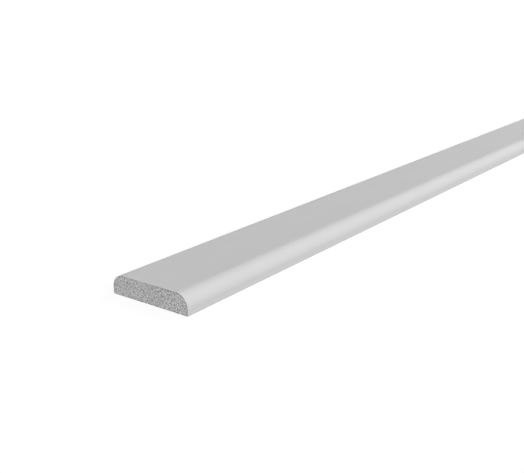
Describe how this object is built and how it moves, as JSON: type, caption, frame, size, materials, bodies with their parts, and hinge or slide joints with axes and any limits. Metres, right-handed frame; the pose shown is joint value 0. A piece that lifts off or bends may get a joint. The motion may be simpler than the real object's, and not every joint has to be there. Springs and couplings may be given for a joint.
{
  "type": "d-shaped moulding",
  "caption": "Long flat trim strip with a D-shaped section: flat back, flat front, rounded front edges and square sawn ends, for covering joints.",
  "frame": {"origin": "middle of the flat back, half way along the strip and half way across it", "axes": "+X along the strip, +Y across it, +Z out of the back through the front, so the strip lies on its back"},
  "size_m": [2.4, 0.028, 0.006],
  "materials": {
    "primed_board": "matte"
  },
  "bodies": {
    "root": {"d_moulding": "primed_board"}
  },
  "joints": []
}
